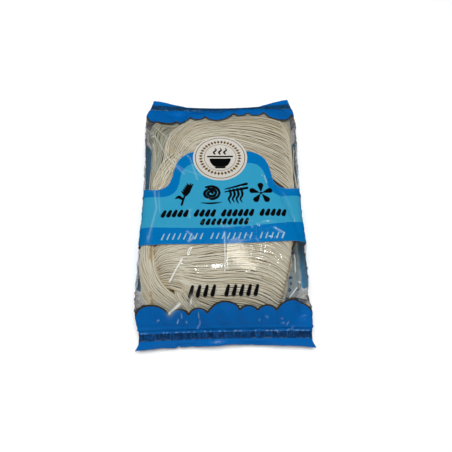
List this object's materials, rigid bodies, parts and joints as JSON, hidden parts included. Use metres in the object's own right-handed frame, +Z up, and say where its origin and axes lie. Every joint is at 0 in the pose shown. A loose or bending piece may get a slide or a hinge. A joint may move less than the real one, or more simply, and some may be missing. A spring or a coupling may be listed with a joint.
{
  "type": "sealed pack of fine white noodles",
  "caption": "Clear film pillow pack with a blue printed label and blue ends, lying on its back, filled with a skein of fine white noodles.",
  "frame": {"origin": "middle of the pack's outline on the surface that it lies on", "axes": "+X across the pack to the right of its printed side, +Y along it towards its top seal, +Z up out of the printed side"},
  "size_m": [0.1582, 0.26, 0.0415],
  "materials": {
    "film_pack": "clear glossy printed film over pale noodles"
  },
  "bodies": {
    "root": {"sealed_bag": "film_pack"}
  },
  "joints": []
}
